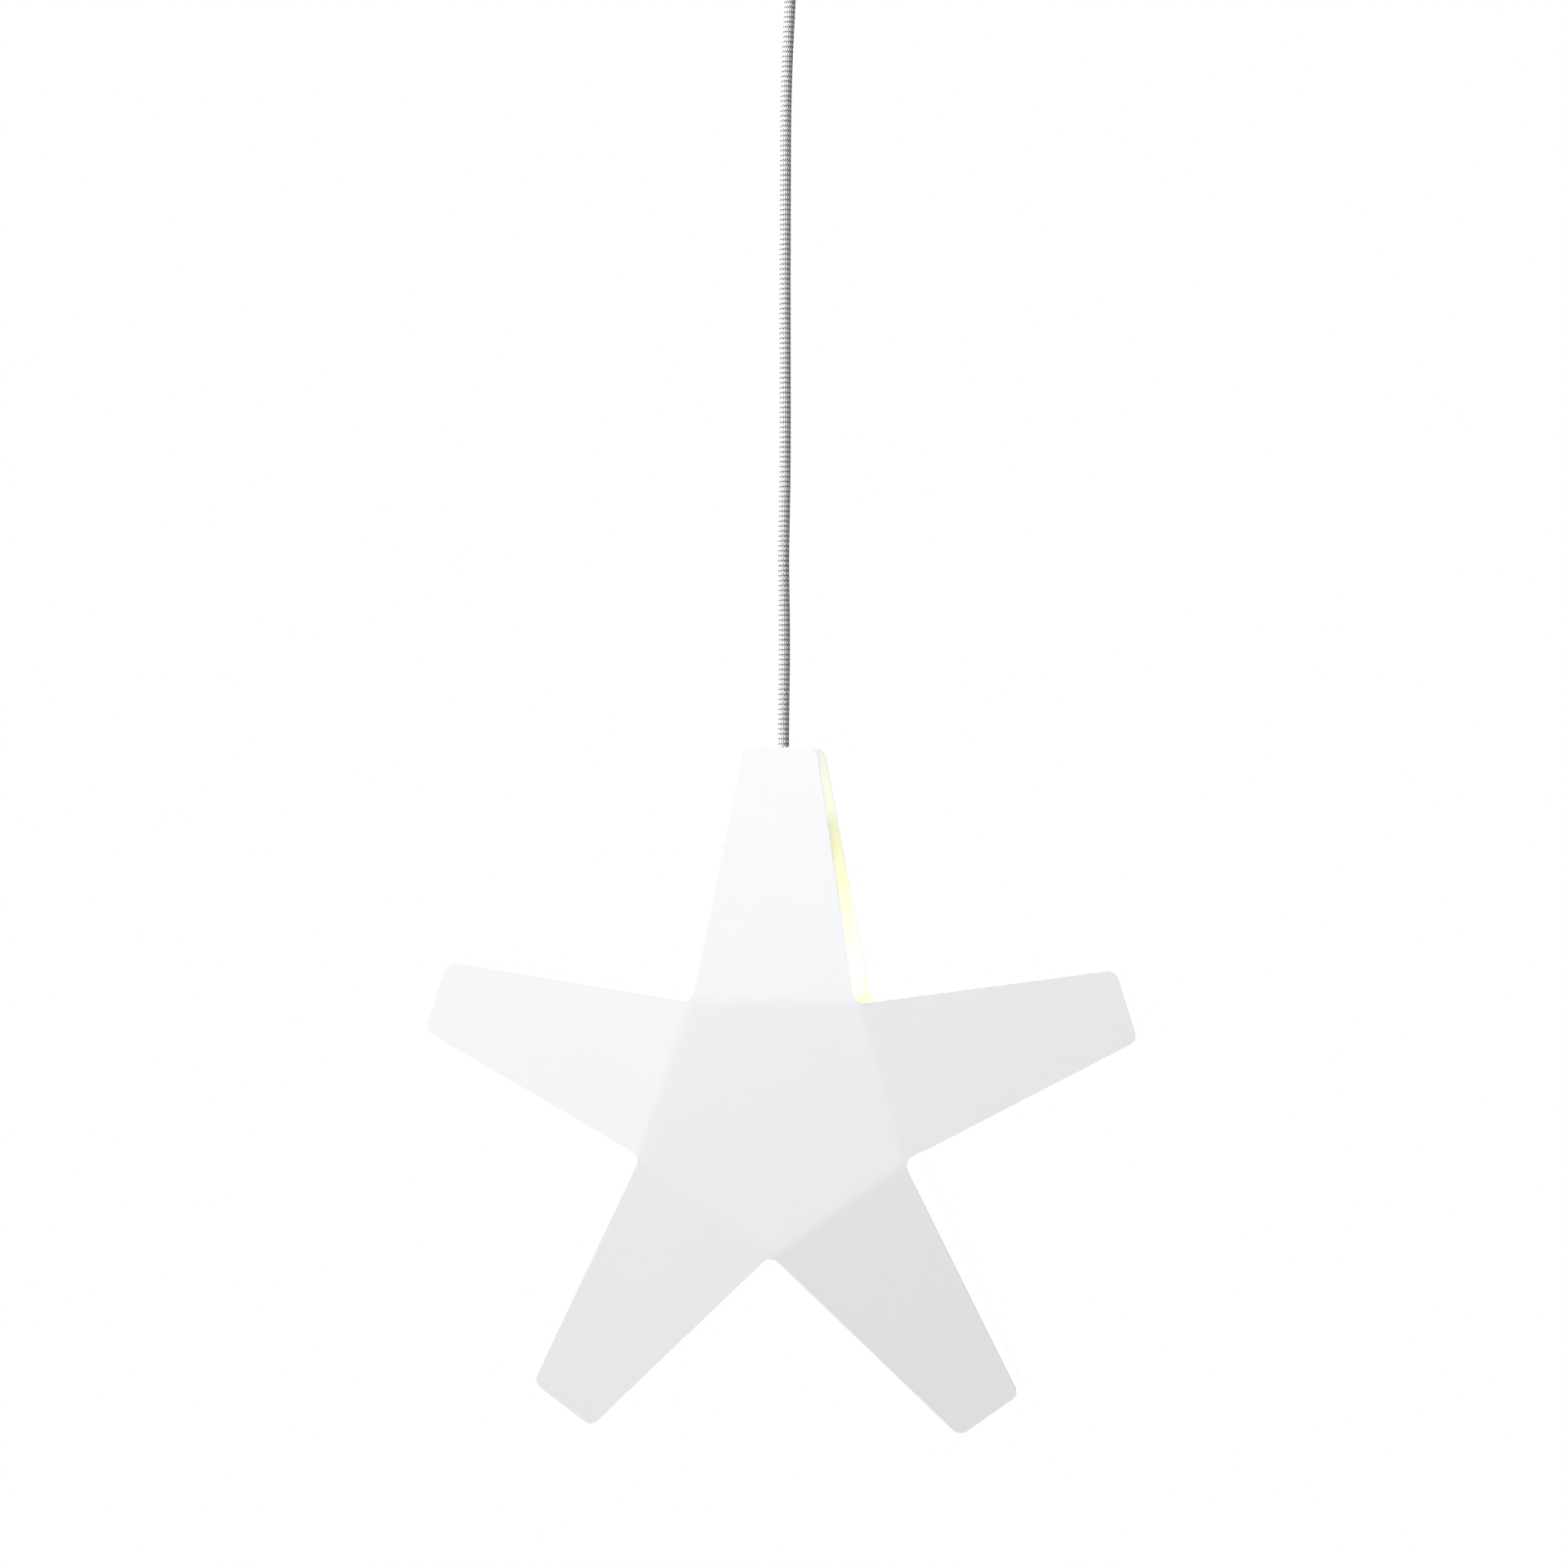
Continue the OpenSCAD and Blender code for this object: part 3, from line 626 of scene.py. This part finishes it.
# The nodes whose shape is right as it is get their finish only
plainNodes = {
    "sheet_studs": "zinc_steel",
    "bracket_nuts": "zinc_steel",
    "lamp_grip_screw": "clear_screw",
    "cup_grip_screw": "clear_screw",
    "holder_insert": "holder_ceramic",
    "holder_thread": "contact_brass",
    "holder_contact": "contact_brass",
    "holder_cores": "core_sheath",
    "cup_grip_nut": "zinc_steel",
    "terminal_block": "block_plastic",
    "terminal_tubes": "contact_brass",
    "terminal_screws": "zinc_steel",
    "block_screw": "zinc_steel",
    "cup_cores": "core_sheath",
}
for nodeName, slot in plainNodes.items():
    node = nodes[nodeName]
    node.data.materials.clear()
    node.data.materials.append(colourOf[slot])

# The world is a soft room: bright on the left, dark far to the right, plain white to the eye
roomLight = {"level": 0.626, "fromLeft": 0.83, "least": 0.02, "cool": (0.97, 0.99, 1.0, 1)}


def makeWorld():
    world = bpy.data.worlds.new("softRoom")
    world.use_nodes = True
    bpy.context.scene.world = world
    tree = world.node_tree
    background = tree.nodes["Background"]
    direction = addNode(tree, "ShaderNodeTexCoord").outputs["Generated"]
    side = addNode(tree, "ShaderNodeSeparateXYZ", {"Vector": direction}).outputs["X"]
    level = maths(tree, "SUBTRACT", roomLight["level"], maths(tree, "MULTIPLY", side, roomLight["fromLeft"]))
    background.inputs["Color"].default_value = roomLight["cool"]
    tree.links.new(maths(tree, "MAXIMUM", level, roomLight["least"]), background.inputs["Strength"])
    plain = addNode(tree, "ShaderNodeBackground", {"Color": plainWhite, "Strength": 1.0})
    path = addNode(tree, "ShaderNodeLightPath").outputs
    mirrored = maths(tree, "MAXIMUM", path["Is Glossy Ray"], path["Is Transmission Ray"])
    seen = maths(tree, "MAXIMUM", path["Is Camera Ray"], mirrored)
    both = addNode(tree, "ShaderNodeMixShader", {0: seen, 1: background.outputs[0], 2: plain.outputs[0]})
    tree.links.new(both.outputs[0], tree.nodes["World Output"].inputs["Surface"])


makeWorld()

# A small bright key from the upper left, aimed above the star so that it fades over the lower arms
keyLight = {
    "from": Vector((-0.247, -0.649, 0.720)),
    "distance": 3.0,
    "radius": 0.186,
    "power": 208.0,
    "aimAbove": 0.30,
    "cone": 28,  # degrees
    "softEdge": 0.43,
}
# A tall strip of light beside the cord, for the cord alone
stripLight = {
    "from": Vector((-0.848, -0.530, 0.10)),
    "distance": 1.6,
    "width": 0.3,
    "height": 1.4,
    "middleZ": -0.33,
    "power": 44.0,
}
# The light of the bulb, a little larger than its globe; it fades with distance past fadeFrom
lampLight = {
    "radius": globeRadius + 1 * mm,
    "power": 8.4,
    "colour": (1.0, 0.97, 0.37),
    "fadeFrom": 0.15,
}


def placeLamp(name, data, place, target):
    lamp = bpy.data.objects.new(name, data)
    lamp.location = place
    lamp.rotation_mode = "QUATERNION"
    lamp.rotation_quaternion = (place - target).to_track_quat("Z", "Y")
    bpy.context.scene.collection.objects.link(lamp)
    return lamp


def makeKeyLight():
    data = bpy.data.lights.new("keyLight", "SPOT")
    data.energy = keyLight["power"]
    data.shadow_soft_size = keyLight["radius"]
    data.spot_size = math.radians(keyLight["cone"])
    data.spot_blend = keyLight["softEdge"]
    place = starCentre + keyLight["from"].normalized() * keyLight["distance"]
    placeLamp("keyLight", data, place, starCentre + Vector((0, 0, keyLight["aimAbove"])))


def makeStripLight():
    data = bpy.data.lights.new("stripLight", "AREA")
    data.shape = "RECTANGLE"
    data.size = stripLight["width"]
    data.size_y = stripLight["height"]
    data.energy = stripLight["power"]
    middle = Vector((0, 0, stripLight["middleZ"]))
    place = middle + stripLight["from"].normalized() * stripLight["distance"]
    lamp = placeLamp("stripLight", data, place, middle)
    cordOnly = bpy.data.collections.new("cordOnly")
    cordOnly.objects.link(cord)
    lamp.light_linking.receiver_collection = cordOnly


def makeLampLight():
    data = bpy.data.lights.new("lampLight", "POINT")
    data.energy = lampLight["power"]
    data.shadow_soft_size = lampLight["radius"]
    data.use_soft_falloff = False
    data.color = lampLight["colour"]
    data.use_nodes = True
    tree = data.node_tree
    fade = addNode(tree, "ShaderNodeLightFalloff", {"Strength": 1.0, "Smooth": lampLight["fadeFrom"] ** 2})
    tree.links.new(fade.outputs["Quadratic"], tree.nodes["Emission"].inputs["Strength"])
    lamp = placeLamp("lampLight", data, starCentre, starCentre - Vector((0, 1, 0)))
    lamp.visible_camera = False


makeKeyLight()
makeStripLight()
makeLampLight()
print("lights placed")

floorBuild = {
    "z": -1.35,
    "size": 30.0,
    "colour": (0.88, 0.88, 0.88, 1),
    "near": 1.0,  # from the middle; past here the floor pales, up to white at far
    "far": 2.4,
    "lift": 0.3,
}


# A pale floor that shows soft shadows near the object and runs out into white far from it
def makeFloor():
    bm = bmesh.new()
    bmesh.ops.create_grid(bm, x_segments=1, y_segments=1, size=floorBuild["size"] / 2)
    bmesh.ops.translate(bm, verts=bm.verts, vec=(0, 0, floorBuild["z"]))
    mesh = bpy.data.meshes.new("floor")
    bm.to_mesh(mesh)
    bm.free()
    floor = bpy.data.objects.new("floor", mesh)
    bpy.context.scene.collection.objects.link(floor)
    material = bpy.data.materials.new("paleFloor")
    material.use_nodes = True
    tree = material.node_tree
    tree.nodes.clear()
    objectPlace = addNode(tree, "ShaderNodeTexCoord").outputs["Object"]
    place = addNode(tree, "ShaderNodeSeparateXYZ", {"Vector": objectPlace})
    across = maths(tree, "MULTIPLY", place.outputs["X"], place.outputs["X"])
    along = maths(tree, "MULTIPLY", place.outputs["Y"], place.outputs["Y"])
    away = maths(tree, "SQRT", maths(tree, "ADD", across, along))
    farOff = remap(tree, away, floorBuild["near"], floorBuild["far"], 0.0, 1.0)
    grey = addNode(tree, "ShaderNodeBsdfDiffuse", {"Color": floorBuild["colour"]})
    lift = addNode(tree, "ShaderNodeEmission", {"Color": plainWhite, "Strength": floorBuild["lift"]})
    white = addNode(tree, "ShaderNodeEmission", {"Color": plainWhite, "Strength": 1.0})
    path = addNode(tree, "ShaderNodeLightPath").outputs
    mirrored = maths(tree, "MAXIMUM", path["Is Glossy Ray"], path["Is Transmission Ray"])
    seen = maths(tree, "MAXIMUM", path["Is Camera Ray"], mirrored)
    lifted = addNode(tree, "ShaderNodeAddShader", {0: grey.outputs[0], 1: lift.outputs[0]})
    shown = addNode(tree, "ShaderNodeMixShader", {0: farOff, 1: lifted.outputs[0], 2: white.outputs[0]})
    face = addNode(tree, "ShaderNodeMixShader", {0: seen, 1: grey.outputs[0], 2: shown.outputs[0]})
    behind = addNode(tree, "ShaderNodeNewGeometry").outputs["Backfacing"]
    clear = addNode(tree, "ShaderNodeBsdfTransparent")
    through = maths(tree, "MULTIPLY", behind, path["Is Camera Ray"])
    surface = addNode(tree, "ShaderNodeMixShader", {0: through, 1: face.outputs[0], 2: clear.outputs[0]})
    addNode(tree, "ShaderNodeOutputMaterial", {"Surface": surface.outputs[0]})
    mesh.materials.append(material)


makeFloor()
print("floor laid")
